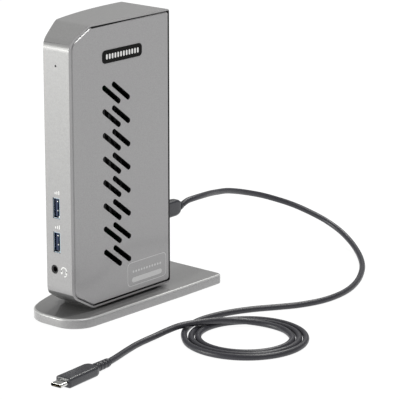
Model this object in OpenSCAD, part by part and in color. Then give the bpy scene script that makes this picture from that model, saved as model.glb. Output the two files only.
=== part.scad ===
// Laptop docking station on a weighted stand, with its detachable USB-C host cable.
// X runs across the thickness (+X is the vented side), Y runs to the rear, Z is up.
// The origin is the centre of the stand's underside.

/* [Housing] */
// Height of the dock body
body_h = 182; // [179:1:185]
// Depth of the dock body, front to rear
body_d = 92.8; // [92:0.2:94]
// Thickness of the dock body at its front face
front_t = 21.6; // [21.4:0.1:22.4]
// Thickness of the dock body at its rear
rear_t = 39.5; // [39:0.1:40.5]
// Wall thickness of the housing shell
wall = 1.2; // [1.2:0.1:1.6]
// Depth of the slanted front corners
chamfer_d = 19; // [17:0.5:20]
// Height of the slanted upper front corner
chamfer_top = 9.7; // [9:0.1:11]
// Height of the slanted lower front corner
chamfer_bot = 11; // [10:0.1:12]
// Width of the housing rim along the front of the side cover
front_rim = 2.3; // [1.6:0.1:2.6]

/* [Side cover] */
// Thickness of the vented side cover
cover_t = 2; // [1.6:0.1:2.4]
// Gap between the cover and the housing rim
seam = 0.4; // [0.3:0.1:0.6]
// Number of slot pairs
slot_rows = 8; // [4:1:8]
// Height between slot pairs
slot_pitch = 15.2; // [14:0.1:15.4]
// Overall length of one slot
slot_l = 20.4; // [15:0.2:21]
// Width of one slot
slot_w = 3.5; // [2.5:0.1:3.7]
// Slope of the slots below horizontal
slot_tilt = 38; // [35:1:45]

/* [Stand] */
// Width of the stand
base_w = 64; // [64:1:66]
// Length of the stand
base_l = 140; // [140:1:146]
// Height of the stand plate above the table
base_h = 7; // [6.5:0.5:7]
// Clear gap between the stand plate and the dock body
body_gap = 2; // [2:0.5:3]

/* [Ports] */
// Depth of a USB-A receptacle shell
usb_l = 15; // [13:1:16]
// Radius of the headset socket bore
headset_r = 1.8; // [1.75:0.05:1.85]

/* [Cable] */
// Diameter of the cable jacket
cable_d = 4; // [4:0.1:4.2]
// Width of a USB-C plug body
plug_w = 11.2; // [10.8:0.1:12]
// Thickness of a USB-C plug body
plug_t = 6.2; // [6:0.1:6.4]
// Length of a USB-C plug body
plug_l = 29; // [28:0.5:31]

/* [Hidden] */

$fn = 48;
eps = 0.01;

// Main planes of the dock body
x_right = base_w / 2 - 10.5;
x_left = x_right - rear_t;
y_front = -base_l / 2 + 5.7;
y_rear = y_front + body_d;
z_bot = base_h + body_gap;
z_top = z_bot + body_h;
z_foot = 0.6;

// The left wall is one large arc that runs parallel to the cover at the rear
arc_run = 86.8;
arc_sag = rear_t - front_t;
arc_r = (arc_run * arc_run + arc_sag * arc_sag) / (2 * arc_sag);
arc_y = y_front + arc_run;
arc_x = x_left + arc_r;
corner_r = 8;
rear_top_r = 2;
rear_bot_r = 3;

// Side cover
cover_x = x_right - cover_t;
cover_inset = wall + seam;
cover_front = front_rim - wall;
cover_rear = y_rear - 1;
cover_bevel = 0.9;
panel_flange = 0.75;
slot_y = y_front + 46.8;
slot_z = z_bot + 136.3;
slot_pair = [-8.8, -1];
badge_l = 36.4;
badge_h = 8.2;
badge_y = y_front + 48.2;
badge_z = z_bot + 159.9;
badge_t = 0.7;

// Cover fixings: posts on the cover meet bosses in the left wall
post_y = [y_front + 28.3, y_front + 78.3];
post_z = [z_bot + 6.5, z_top - 6.5];
post_r = 3.2;
boss_r = 4.2;
screw_r = 1.45;
foot_r = 5;

// Circuit board, upright, with its parts on the cover side
board_t = 1.6;
board_x = x_right - 20;
board_back = board_x - board_t;
board_y = [y_front + 6.8, y_rear - 3.6];
board_z = [z_bot + 11, z_top - 11];
board_hole_y = [y_front + 12.8, y_front + 75.3];
board_hole_z = [z_bot + 55.1, z_bot + 132];

// Front ports, from the top down
led_x = x_right - 11.2;
led_z = z_bot + 158;
usb_x = x_right - 12.6;
usb_w = 13.1;
usb_h = 5.7;
usb_sheet = 0.35;
front_usb_z = [z_bot + 67.3, z_bot + 45.1];
front_usb_y = y_front + 0.5;
jack_x = x_right - 14.8;
jack_z = z_bot + 27.2;
jack_l = 14;

// Rear ports, from the bottom up
port_y = y_rear - 0.4;
power_z = z_bot + 17;
host_x = x_right - 18.3;
host_z = z_bot + 42.1;
host_w = 8.5;
host_t = 2.66;
video_x = board_x + 2.8;
hdmi_z = [z_bot + 63, z_bot + 83];
dp_z = [z_bot + 103, z_bot + 123];
video_l = 11.5;
net_x = board_x + 6.8;
net_z = z_bot + 143.5;
stack_x = board_x + 7.8;
stack_z = z_bot + 162.5;
stack_pitch = 7.6;

// Heat sink and chips
chip_y = y_front + 50.8;
chip_z = z_bot + 91;
chip_s = 17;
chip_h = 1.6;
pad_t = 0.5;
sink_x = board_x + chip_h + pad_t;
sink_size = [2.2, 38, 72];
sink_fins = 8;
fin_h = 9;

// Stand: its left side is an arc of its own
stand_arc_r = 232.1;
stand_arc_x = stand_arc_r - base_w / 2;
stand_arc_y = 22.5;
cradle_y = [y_front + 24.8, y_rear - 6];
cradle_x = [x_left + 8.5, x_right - 6];
tongue_x = [-3, 5];
tongue_y = [-28, 11];
tongue_h = 3.5;
tongue_gap = 0.3;
cradle_screw_y = [-24, 8];

// Cable: the plugs, the coil and the hand-chosen route between them
cable_r = cable_d / 2;
shell_w = 8.25;
shell_h = 2.4;
shell_l = 6.6;
dock_relief_l = 3.5;
host_relief_l = 14;
dock_plug_y = y_rear + 0.3;
host_plug_at = [91.1, -145.4];
host_plug_turn = 5;
coil_at = [118.8, -10.4];
coil_start = 220;
coil_outer = 38.8;
coil_pitch = 4.3;
coil_turns = 2.6;
lead_route = [
    [host_x, dock_plug_y + plug_l + dock_relief_l, host_z],
    [3.2, 67.5, 52.9], [2.9, 76, 53.1], [1, 86, 52.3], [-3, 98, 50.5], [-7.5, 111, 48],
    [-11, 125, 45.4], [-13, 139, 41.8], [-13.2, 152, 38], [-11.4, 165, 33.8], [-7, 176, 29.4],
    [0, 185.5, 24.8], [10, 192.5, 19.6], [22, 196, 14.6], [35, 195, 10], [47, 190.5, 6.2],
    [59, 182.5, 3.6], [71, 171.5, 2.3], [83, 157.5, 2], [93, 142.5, 2], [101.5, 126.5, 2],
    [107.5, 110, 2], [110, 94, 2], [109, 78, 2], [103.5, 62, 2], [95.5, 49, 2],
    [87, 36.5, 2], [80.5, 23.5, 2], [76.4, 10, 2], [75, -3, 2], [76.8, -15, 2],
    [81.6, -26, 2], [89.1, -35.3, 2]
];
tail_route = [
    [129.9, 14.8, 2], [120, 16.9, 2.1], [110, 15.4, 2.5], [101.2, 10.2, 3.4], [95, 2.6, 4.6],
    [90.8, -6, 5.8], [87.3, -14.6, 6.4], [83.9, -22.8, 6.5], [80.5, -30.6, 6], [77.6, -38.6, 4.4],
    [75.8, -47, 2.8], [75.4, -56, 2.1], [76.4, -65, 2], [78.4, -74, 2], [81.2, -83.5, 2.2],
    [84.4, -92.6, 2.7], [
        host_plug_at.x - (plug_l + host_relief_l) * sin(host_plug_turn),
        host_plug_at.y + (plug_l + host_relief_l) * cos(host_plug_turn), plug_t / 2]
];

module across(x, length) {
    // Draws a Y-Z outline as a slab that starts at x and runs towards +X
    translate([x, 0, 0]) rotate([90, 0, 90]) linear_extrude(length) children();
}

module along(y, length) {
    // Draws an outline whose first axis is X and second is Z, from y towards the rear
    translate([0, y + length, 0]) rotate([90, 0, 0]) linear_extrude(length) children();
}

// Points of a closed outline whose corners [x, y, r] are rounded by true tangent arcs
function unit(v) = v / norm(v);
function cut_corner(a, b, c, r, steps) =
    let (u = unit(a - b), v = unit(c - b), half = acos(u * v) / 2)
    let (reach = r / tan(half), centre = b + unit(u + v) * r / sin(half))
    let (p = b + u * reach - centre, q = b + v * reach - centre)
    let (from = atan2(p.y, p.x), sweep = atan2(p.x * q.y - p.y * q.x, p * q))
    [for (i = [0:steps]) centre + r * [cos(from + sweep * i / steps), sin(from + sweep * i / steps)]];
function rounded(points, steps = 10) =
    let (n = len(points))
    [for (i = [0:n - 1])
        let (a = points[(i + n - 1) % n], b = points[i], c = points[(i + 1) % n])
        each b.z <= 0 ? [[b.x, b.y]]
            : cut_corner([a.x, a.y], [b.x, b.y], [c.x, c.y], b.z, steps)];

function left_x(y, inset = 0) = arc_x - sqrt(pow(arc_r - inset, 2) - pow(y - arc_y, 2));

// Height of the slanted corner where it meets the front, once moved inwards
function corner_low(h, inset, front) =
    let (slope = atan2(h, chamfer_d))
    h + inset * tan((90 - slope) / 2) - front * tan(slope);
function corner_deep(h, inset) = chamfer_d + inset * tan(atan2(h, chamfer_d) / 2);

module side_outline(inset, rear, front = 0, rear_r = [0, 0]) {
    // The body seen from the side, moved inwards by inset, its front by a further front
    r = corner_r - inset;
    near = y_front + inset + front;
    polygon(rounded([
        [rear, z_bot + inset, rear_r[0]],
        [rear, z_top - inset, rear_r[1]],
        [y_front + corner_deep(chamfer_top, inset), z_top - inset, r],
        [near, z_top - corner_low(chamfer_top, inset, front), r],
        [near, z_bot + corner_low(chamfer_bot, inset, front), r],
        [y_front + corner_deep(chamfer_bot, inset), z_bot + inset, r]
    ]));
}

module body_volume(inset, right, rear) {
    // The wedge-shaped body volume, moved inwards by inset
    intersection() {
        across(x_left - 1, right - x_left + 1)
            if (inset < wall) side_outline(inset, rear, 0, [rear_bot_r, rear_top_r]);
            else side_outline(inset, rear, front_rim - wall);
        translate([arc_x, arc_y, z_bot - 1]) cylinder(h = body_h + 2, r = arc_r - inset, $fn = 720);
    }
}

module x_rod(x, y, z, r, length) {
    translate([x, y, z]) rotate([0, 90, 0]) cylinder(h = length, r = r);
}

module y_rod(x, y, z, r, length) {
    translate([x, y, z]) rotate([-90, 0, 0]) cylinder(h = length, r = r);
}

module block(low, high) {
    translate(low) cube(high - low);
}

module upright_slot(length, width) {
    // Stadium in the Y-Z outline plane, centred, long along the first axis
    square([length - width, width], center = true);
    for (s = [-1, 1]) translate([s * (length - width) / 2, 0]) circle(d = width);
}

module round_rect(w, h, r) {
    square([w - 2 * r, h], center = true);
    square([w, h - 2 * r], center = true);
    for (sx = [-1, 1], sy = [-1, 1])
        translate([sx * (w / 2 - r), sy * (h / 2 - r)]) circle(r = r);
}

// ---------------------------------------------------------------- stand

module stand_outline(inset) {
    // The left side is a large arc, the right side is nearly straight
    r = stand_arc_r - inset;
    front = -base_l / 2 + inset;
    rear = base_l / 2 - inset;
    steps = 12;
    start = stand_arc_y - 4;
    stop = front + 17;
    arc_points = [for (i = [0:steps])
        let (y = start + (stop - start) * i / steps)
        [stand_arc_x - sqrt(r * r - pow(y - stand_arc_y, 2)), y, 0]];
    polygon(rounded(concat(
        [[base_w / 2 - inset, rear, 4], [-base_w / 2 + inset, rear, 4]],
        arc_points,
        [[stand_arc_x - sqrt(r * r - pow(front - stand_arc_y, 2)) + 1, front, 20],
         [base_w / 2 - 2 - inset, front, 17], [base_w / 2 - inset, 30, 60]]
    ), 8));
}

module foot_places() {
    for (p = [[-20, 52], [20, 52], [-6, -52], [16, -48]]) translate([p.x, p.y, 0]) children();
}

module base_plate() {
    color("darkgray") difference() {
        translate([0, 0, z_foot]) linear_extrude(base_h - z_foot) stand_outline(0);
        foot_places() translate([0, 0, z_foot - eps]) cylinder(h = 0.8 + eps, r = 6.2);
        for (y = cradle_screw_y) {
            translate([1, y, z_foot - eps]) cylinder(h = 2.4 + eps, r = 3.1);
            translate([1, y, z_foot]) cylinder(h = base_h, r = 1.7);
        }
    }
}

module base_feet() {
    color("dimgray") foot_places() cylinder(h = z_foot + 0.8, r = 6);
}

module base_cradle() {
    color("black") difference() {
        union() {
            block([cradle_x[0], cradle_y[0], base_h], [cradle_x[1], cradle_y[1], z_bot]);
            block([tongue_x[0], tongue_y[0], base_h], [tongue_x[1], tongue_y[1], z_bot + tongue_h]);
        }
        for (y = cradle_screw_y) translate([1, y, base_h - eps]) cylinder(h = 4.5, r = 1.5);
    }
}

module cradle_screws() {
    color("silver") for (y = cradle_screw_y) translate([1, y, 0]) {
        translate([0, 0, 1.2]) cylinder(h = 1.8, r = 2.8);
        translate([0, 0, 2.9]) cylinder(h = base_h + 1.3, r = 1.45);
    }
}

// ---------------------------------------------------------------- housing

module cover_screw_cuts(y, z) {
    seat = left_x(y) + 3.4;
    x_rod(left_x(y) - 6, y, z, 2.8, seat - left_x(y) + 6);
    x_rod(seat - 1, y, z, 1.65, boss_r + 4);
}

module board_posts() {
    for (y = board_hole_y, z = board_hole_z) difference() {
        x_rod(x_left, y, z, 3, board_back - x_left);
        x_rod(board_back - 3.4, y, z, 1.25, 3.4 + eps);
    }
}

module front_openings() {
    for (z = front_usb_z) block(
        [usb_x - usb_h / 2 - 0.15, y_front - 1, z - usb_w / 2 - 0.15],
        [usb_x + usb_h / 2 + 0.15, y_front + 3, z + usb_w / 2 + 0.15]);
    y_rod(jack_x, y_front - 1, jack_z, 2.9, 4);
    y_rod(led_x, y_front - 1, led_z, 0.75, 4);
}

module side_foot_place(y, z, lift) {
    // Frame on the left wall with its third axis pointing out of the wall
    translate([left_x(y), y, z]) rotate([0, -90, -asin((arc_y - y) / arc_r)]) translate([0, 0, lift])
        children();
}

module behind_flange() {
    block([x_left - 1, y_rear - panel_flange, z_bot - 1], [x_right + 1, y_rear + 1, z_top + 1]);
}

module main_housing() {
    color("darkgray") difference() {
        union() {
            difference() {
                body_volume(0, x_right, y_rear);
                body_volume(wall, x_right + 1, y_rear + 1);
                behind_flange();
            }
            intersection() {
                body_volume(0.4, x_right, y_rear);
                union() {
                    board_posts();
                    for (y = post_y, z = post_z) x_rod(left_x(y) - 2, y, z, boss_r, 8.5);
                }
            }
        }
        for (y = post_y, z = post_z) cover_screw_cuts(y, z);
        for (y = post_y, z = post_z) side_foot_place(y, z, -0.8) cylinder(h = 3, r = foot_r + 0.1);
        front_openings();
        block([tongue_x[0] - tongue_gap, tongue_y[0] - tongue_gap, z_bot - 1],
              [tongue_x[1] + tongue_gap, tongue_y[1] + tongue_gap, z_bot + wall + 1]);
    }
}

module cover_slots() {
    for (i = [0:slot_rows - 1], side = [0, 1])
        translate([slot_y + side * slot_pair.x, slot_z - i * slot_pitch + side * slot_pair.y])
            rotate(-slot_tilt) upright_slot(slot_l, slot_w);
}

module side_cover() {
    color("darkgray") difference() {
        union() {
            across(cover_x, cover_t - cover_bevel)
                side_outline(cover_inset, cover_rear, cover_front, [2.4, 1.5]);
            hull() {
                across(x_right - cover_bevel, eps)
                    side_outline(cover_inset, cover_rear, cover_front, [2.4, 1.5]);
                across(x_right - eps, eps)
                    side_outline(cover_inset + cover_bevel, cover_rear - cover_bevel / 2,
                        cover_front, [1.5, 0.6]);
            }
            for (y = post_y, z = post_z)
                x_rod(left_x(y) + 6.5, y, z, post_r, cover_x - left_x(y) - 6.4);
        }
        across(cover_x - 1, cover_t + 2) cover_slots();
        across(x_right - 0.4, 1) translate([badge_y, badge_z])
            round_rect(badge_l + 0.2, badge_h + 0.2, 2.8);
        for (y = post_y, z = post_z) x_rod(left_x(y) + 6, y, z, screw_r + 0.05, 10.5);
    }
}

module cover_screws() {
    color("silver") for (y = post_y, z = post_z) {
        x_rod(left_x(y) + 2, y, z, 2.6, 1.4);
        x_rod(left_x(y) + 3.3, y, z, screw_r, 11.6);
    }
}

module side_feet() {
    color("dimgray") for (y = post_y, z = post_z)
        side_foot_place(y, z, -0.8) cylinder(h = 1.8, r = foot_r);
}

module badge() {
    color("black") across(x_right - 0.4, badge_t) translate([badge_y, badge_z])
        round_rect(badge_l, badge_h, 2.7);
}

// ---------------------------------------------------------------- electronics

module main_board() {
    color("darkgreen") difference() {
        block([board_back, board_y[0], board_z[0]], [board_x, board_y[1], board_z[1]]);
        for (y = board_hole_y, z = board_hole_z) x_rod(board_back - 1, y, z, 1.5, 4);
        for (s = [-1, 1]) x_rod(board_back - 1, chip_y, chip_z + s * 30, 1.5, 4);
    }
}

module board_screws() {
    color("silver") for (y = board_hole_y, z = board_hole_z) {
        x_rod(board_x, y, z, 2.4, 1.4);
        x_rod(board_x - 4.4, y, z, 1.2, 4.9);
    }
}

module chip(y, z, size, height) {
    block([board_x, y - size / 2, z - size / 2], [board_x + height, y + size / 2, z + size / 2]);
}

module graphics_chip() {
    color("black") chip(chip_y, chip_z, chip_s, chip_h);
}

module support_chips() {
    color("black") {
        chip(y_front + 30, z_bot + 48, 10, 1);
        chip(y_front + 37, z_bot + 140, 9, 1);
        chip(y_front + 53, z_bot + 148, 7, 1);
        chip(y_front + 51, z_bot + 43, 6, 1);
    }
}

module thermal_pad() {
    color("lightblue") translate([chip_h, 0, 0]) chip(chip_y, chip_z, chip_s - 1, pad_t);
}

module heat_sink() {
    // Finned plate with the fins upright, clear of the board's screws
    fin_gap = (sink_size.y - 2) / (sink_fins - 1);
    color("black") difference() {
        translate([sink_x, chip_y - sink_size.y / 2, chip_z - sink_size.z / 2]) union() {
            cube(sink_size);
            for (i = [0:sink_fins - 1])
                translate([sink_size.x - eps, i * fin_gap, 0]) cube([fin_h, 2, sink_size.z]);
        }
        for (s = [-1, 1]) {
            x_rod(sink_x - 1, chip_y, chip_z + s * 30, 1.6, 20);
            x_rod(sink_x + sink_size.x, chip_y, chip_z + s * 30, 3.2, 20);
        }
    }
}

module heat_sink_screws() {
    color("silver") for (s = [-1, 1]) {
        x_rod(sink_x + sink_size.x, chip_y, chip_z + s * 30, 2.6, 1.6);
        x_rod(board_back, chip_y, chip_z + s * 30, 1.4, board_t + chip_h + pad_t + sink_size.x + 0.5);
    }
}

module power_inductors() {
    color("dimgray") for (i = [0:2]) chip(y_front + 68.8 - i * 10, z_bot + 20, 7, 4);
}

module filter_capacitors() {
    color("silver") for (i = [0:2]) x_rod(board_x, y_front + 68.8 - i * 10, z_bot + 31, 3.2, 6);
}

module status_led() {
    color("white") block([board_x, y_front + 10, led_z - 1.6], [board_x + 1.4, y_front + 12, led_z + 1.6]);
}

module light_pipe() {
    // Clear rod from the pinhole in the front wall, turned down to the LED
    color("lightgray") union() {
        y_rod(led_x, y_front + 0.3, led_z, 0.55, 11.5);
        block([board_x + 1.5, y_front + 10.3, led_z - 0.9], [led_x + 0.9, y_front + 12.1, led_z + 0.9]);
    }
}

// ---------------------------------------------------------------- front ports

module usb_shell(x, y, z, length, legs) {
    // Folded sheet box with its mouth at y; a positive length runs to the rear
    color("silver") {
        difference() {
            translate([x, y + length / 2, z]) cube([usb_h, abs(length), usb_w], center = true);
            translate([x, y + length / 2 - sign(length), z])
                cube([usb_h - 2 * usb_sheet, abs(length) + 1, usb_w - 2 * usb_sheet], center = true);
        }
        for (s = [-1, 1], t = [0.35, 0.75])
            translate([x - usb_h / 2 - legs / 2, y + length * t, z + s * (usb_w / 2 - 0.2)])
                cube([legs, 2, 0.4], center = true);
    }
}

module usb_tongue(x, y, z, length) {
    // Contact carrier: a thin tongue on a block that closes the back of the shell
    reach = abs(length);
    back = sign(length);
    color("royalblue") translate([x, y, z]) scale([1, back, 1]) {
        translate([-0.85, reach / 2, 0]) cube([1.9, reach - 1.8, usb_w - 2], center = true);
        translate([0, reach - 2.4, 0])
            cube([usb_h - 2 * usb_sheet - 0.1, 2.4, usb_w - 2 * usb_sheet - 0.1], center = true);
    }
}

module front_usb_shell(i) {
    usb_shell(usb_x, front_usb_y, front_usb_z[i], usb_l, usb_x - usb_h / 2 - board_x);
}

module front_usb_tongue(i) {
    usb_tongue(usb_x, front_usb_y, front_usb_z[i], usb_l);
}

module headset_jack() {
    color("black") difference() {
        union() {
            y_rod(jack_x, y_front + 0.4, jack_z, 2.7, front_rim);
            block([board_x, y_front + front_rim + 0.1, jack_z - 3.1],
                  [jack_x + 2.9, y_front + front_rim + jack_l, jack_z + 3.1]);
        }
        y_rod(jack_x, y_front - 1, jack_z, headset_r, jack_l + 0.4);
    }
}

// ---------------------------------------------------------------- rear ports

module power_jack() {
    color("black") difference() {
        block([board_x, port_y - 14, power_z - 4.5], [board_x + 11, y_rear - 1.5, power_z + 4.5]);
        y_rod(board_x + 6.5, port_y - 10, power_z, 2.9, 11);
    }
}

module power_jack_pin() {
    color("silver") y_rod(board_x + 6.5, port_y - 10, power_z, 1.05, 9);
}

module stadium_rod(w, t, length) {
    // Flat-sided rod along Y with its wide side along X
    rotate([-90, 0, 0]) linear_extrude(length) upright_slot(w, t);
}

module on_edge(x, y, z) {
    // Turns a part that lies flat onto its edge, so that its wide side is upright
    translate([x, y, z]) rotate([0, 90, 0]) children();
}

module host_port_shell() {
    color("silver") on_edge(host_x, port_y - 8, host_z) difference() {
        stadium_rod(host_w + 0.6, host_t + 0.6, 8);
        translate([0, 0.8, 0]) stadium_rod(host_w, host_t, 8);
    }
}

module host_port_tongue() {
    color("black") on_edge(host_x, port_y - 7.2, host_z) {
        stadium_rod(host_w - 0.1, host_t - 0.1, 0.9);
        translate([-3.3, 0, -0.35]) cube([6.6, 5.2, 0.7]);
    }
}

module hdmi_outline(grow) {
    // Flat top, with the two lower corners cut back
    w = 7 + grow;
    h = 2.3 + grow;
    polygon([[-h, -w], [-h + 1.4, -w], [h, -w + 1.8], [h, w - 1.8], [-h + 1.4, w], [-h, w]]);
}

module dp_outline(grow) {
    // One corner cut back
    w = 8 + grow;
    h = 2.4 + grow;
    polygon([[-h, -w], [h - 2, -w], [h, -w + 2], [h, w], [-h, w]]);
}

module video_shell(z, kind) {
    color("silver") translate([video_x, 0, z]) difference() {
        along(port_y - video_l, video_l) {
            if (kind == "hdmi") hdmi_outline(0.35);
            if (kind == "dp") dp_outline(0.35);
        }
        along(port_y - video_l + 1, video_l) {
            if (kind == "hdmi") hdmi_outline(0);
            if (kind == "dp") dp_outline(0);
        }
    }
}

module video_tongue(z, width) {
    color("black") translate([video_x, port_y - video_l + 1, z]) {
        translate([-0.6, 0, -width / 2]) cube([1.2, 8.6, width]);
        translate([-1.9, 0, -width / 2]) cube([3.6, 2, width]);
    }
}

module network_jack() {
    // Shielded socket body with the plug cavity and its latch groove
    color("silver") difference() {
        block([board_x, port_y - 21, net_z - 8], [board_x + 13.4, port_y, net_z + 8]);
        translate([net_x, port_y + 1, net_z]) rotate([90, 0, 0]) linear_extrude(13)
            square([8.4, 11.9], center = true);
        translate([net_x - 4.8, port_y + 1, net_z]) rotate([90, 0, 0]) linear_extrude(13)
            square([2.4, 6.2], center = true);
        for (s = [-1, 1]) block(
            [board_x + 0.8, port_y - 1.2, net_z + s * 6.2 - 1.4],
            [board_x + 2.4, port_y + 1, net_z + s * 6.2 + 1.4]);
    }
}

module network_contacts() {
    color("gold") for (i = [0:7])
        translate([net_x + 2.2, port_y - 11.9, net_z - 3.8 + i * 1.02]) cube([1.9, 8, 0.45]);
}

module network_lights() {
    color("limegreen") for (s = [-1, 1]) block(
        [board_x + 0.9, port_y - 1.1, net_z + s * 6.2 - 1.3],
        [board_x + 2.3, port_y, net_z + s * 6.2 + 1.3]);
}

module rear_usb_shell() {
    for (s = [-1, 1])
        usb_shell(stack_x + s * stack_pitch / 2, port_y, stack_z, -usb_l,
            stack_x - stack_pitch / 2 - usb_h / 2 - board_x);
    color("silver") block(
        [stack_x - stack_pitch / 2 + usb_h / 2 - eps, port_y - usb_l, stack_z - usb_w / 2],
        [stack_x + stack_pitch / 2 - usb_h / 2 + eps, port_y - 1, stack_z + usb_w / 2]);
}

module rear_usb_tongues() {
    for (s = [-1, 1]) usb_tongue(stack_x + s * stack_pitch / 2, port_y, stack_z, -usb_l);
}

module rear_panel() {
    // Plate set into the housing, with a thin flange that covers the housing's rear edge
    low = [left_x(y_rear) + wall + 0.15, y_rear - 2.2, z_bot + wall + 0.15];
    color("black") difference() {
        union() {
            block(low, [cover_x - 0.2, y_rear - panel_flange / 2, z_top - wall - 0.15]);
            intersection() {
                body_volume(0, x_right, y_rear);
                behind_flange();
            }
        }
        y_rod(board_x + 6.5, y_rear - 4, power_z, 3.6, 6);
        block([board_x - 1, y_rear - 3, power_z - 4.8], [board_x + 11.2, y_rear - 1.4, power_z + 4.8]);
        on_edge(host_x, y_rear - 4, host_z) stadium_rod(host_w + 0.9, host_t + 0.9, 6);
        for (z = hdmi_z) translate([video_x, 0, z]) along(y_rear - 4, 6) hdmi_outline(0.6);
        for (z = dp_z) translate([video_x, 0, z]) along(y_rear - 4, 6) dp_outline(0.6);
        block([board_x - 0.2, y_rear - 4, net_z - 8.2], [board_x + 13.6, y_rear + 1, net_z + 8.2]);
        block([stack_x - stack_pitch / 2 - usb_h / 2 - 0.2, y_rear - 4, stack_z - usb_w / 2 - 0.2],
              [stack_x + stack_pitch / 2 + usb_h / 2 + 0.2, y_rear + 1, stack_z + usb_w / 2 + 0.2]);
    }
}

// ---------------------------------------------------------------- cable

module plug_shell() {
    // Metal nose of a USB-C plug: it points along -Y from the body's front face
    color("silver") translate([0, -shell_l, 0]) difference() {
        stadium_rod(shell_w, shell_h, shell_l);
        translate([0, -1, 0]) stadium_rod(shell_w - 0.6, shell_h - 0.6, shell_l);
    }
}

module plug_outline(w, neck) {
    // Half of the taper: blunt at the front face, shoulders cut back at the rear
    polygon([
        [0.5 - w / 2, 0], [w / 2 - 0.5, 0], [w / 2, 0.5], [w / 2, plug_l - 5],
        [neck / 2, plug_l], [-neck / 2, plug_l], [-w / 2, plug_l - 5], [-w / 2, 0.5]
    ]);
}

module plug_body() {
    // Moulded body: a rounded bar cut to its outline in plan and in elevation
    color("darkslategray") intersection() {
        rotate([-90, 0, 0]) linear_extrude(plug_l) round_rect(plug_w, plug_t, 1.7);
        linear_extrude(plug_t + 2, center = true) plug_outline(plug_w, 7.4);
        rotate([0, 90, 0]) linear_extrude(plug_w + 2, center = true) plug_outline(plug_t, 5.2);
    }
}

module relief(length, root_r, tip_r, ribs) {
    // Tapered strain relief along +Y with turned grooves between its ribs
    pitch = length / (ribs + 0.5);
    color("darkslategray") rotate([-90, 0, 0]) rotate_extrude() difference() {
        polygon([[0, 0], [root_r, 0], [tip_r, length], [0, length]]);
        for (i = [1:ribs]) translate([0, i * pitch - 0.3 * pitch])
            translate([root_r + (tip_r - root_r) * i / ribs - 0.45, 0]) square([3, 0.42 * pitch]);
    }
}

module at_dock_plug() {
    on_edge(host_x, dock_plug_y, host_z) children();
}

module at_host_plug() {
    translate([host_plug_at.x, host_plug_at.y, plug_t / 2]) rotate(host_plug_turn) children();
}

// Catmull-Rom point between p[i] and p[i + 1], with the ends mirrored
function route_point(p, i, f) =
    let (n = len(p))
    let (b = p[i], c = p[min(i + 1, n - 1)])
    let (a = i > 0 ? p[i - 1] : 2 * b - c, d = i + 2 < n ? p[i + 2] : 2 * c - b)
    0.5 * (2 * b + (c - a) * f + (2 * a - 5 * b + 4 * c - d) * f * f
        + (3 * b - 3 * c + d - a) * f * f * f);
function fine_route(p, steps) = [for (i = [0:len(p) - 2], s = [0:steps - 1])
    route_point(p, i, s / steps), p[len(p) - 1]];
function heading(p, i) =
    unit(p[min(i + 1, len(p) - 1)] - p[max(i - 1, 0)]);

module swept_tube(path, r, sides, first = undef, last = undef) {
    // One closed tube whose rings stand square to the path, lowest corner down
    n = len(path);
    ring_points = [for (i = [0:n - 1])
        let (given = i == 0 ? first : i == n - 1 ? last : undef)
        let (t = is_undef(given) ? heading(path, i) : given)
        let (side = unit(cross(t, [0, 0, 1])), up = cross(side, t))
        for (k = [0:sides - 1]) path[i]
            + r * (side * sin(360 * k / sides) - up * cos(360 * k / sides))];
    wall_faces = [for (i = [0:n - 2], k = [0:sides - 1])
        let (a = i * sides + k, b = i * sides + (k + 1) % sides)
        each [[a, a + sides, b], [b, a + sides, b + sides]]];
    caps = [[for (k = [0:sides - 1]) k],
            [for (k = [sides - 1:-1:0]) (n - 1) * sides + k]];
    polyhedron(points = ring_points, faces = concat(wall_faces, caps));
}

module cable_lead() {
    color("darkslategray") swept_tube(fine_route(lead_route, 2), cable_r, 8, first = [0, 1, 0]);
}

module cable_tail() {
    color("darkslategray") swept_tube(tail_route, cable_r, 8,
        last = [sin(host_plug_turn), -cos(host_plug_turn), 0]);
}

module cable_coil() {
    // Outer shape of the flat coil, turn beside turn
    outer = coil_outer + cable_r + 0.3;
    inner = coil_outer - coil_pitch * coil_turns - cable_r - 0.3;
    color("darkslategray") translate([coil_at.x, coil_at.y, 0]) rotate_extrude($fn = 96)
        translate([(outer + inner) / 2, cable_r]) round_rect(outer - inner, cable_d, 1.6);
}

base_plate();
base_cradle();
base_feet();
cradle_screws();
main_housing();
side_cover();
rear_panel();
cover_screws();
side_feet();
badge();
main_board();
board_screws();
graphics_chip();
support_chips();
thermal_pad();
heat_sink();
heat_sink_screws();
power_inductors();
filter_capacitors();
status_led();
light_pipe();
front_usb_shell(0);  // front_usb_shell_upper
front_usb_shell(1);  // front_usb_shell_lower
front_usb_tongue(0);  // front_usb_tongue_upper
front_usb_tongue(1);  // front_usb_tongue_lower
headset_jack();
power_jack();
power_jack_pin();
host_port_shell();
host_port_tongue();
video_shell(hdmi_z[0], "hdmi");  // hdmi_shell_lower
video_shell(hdmi_z[1], "hdmi");  // hdmi_shell_upper
video_tongue(hdmi_z[0], 10.6);  // hdmi_tongue_lower
video_tongue(hdmi_z[1], 10.6);  // hdmi_tongue_upper
video_shell(dp_z[0], "dp");  // dp_shell_lower
video_shell(dp_z[1], "dp");  // dp_shell_upper
video_tongue(dp_z[0], 12.6);  // dp_tongue_lower
video_tongue(dp_z[1], 12.6);  // dp_tongue_upper
network_jack();
network_contacts();
network_lights();
rear_usb_shell();
rear_usb_tongues();
at_dock_plug() plug_shell();  // dock_plug_shell
at_dock_plug() plug_body();  // dock_plug_body
at_dock_plug() translate([0, plug_l, 0]) relief(dock_relief_l, 3.2, 2.5, 1);  // dock_plug_relief
cable_lead();
cable_coil();
cable_tail();
at_host_plug() translate([0, plug_l, 0]) relief(host_relief_l, 3, 2.5, 5);  // host_plug_relief
at_host_plug() plug_body();  // host_plug_body
at_host_plug() plug_shell();  // host_plug_shell
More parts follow.
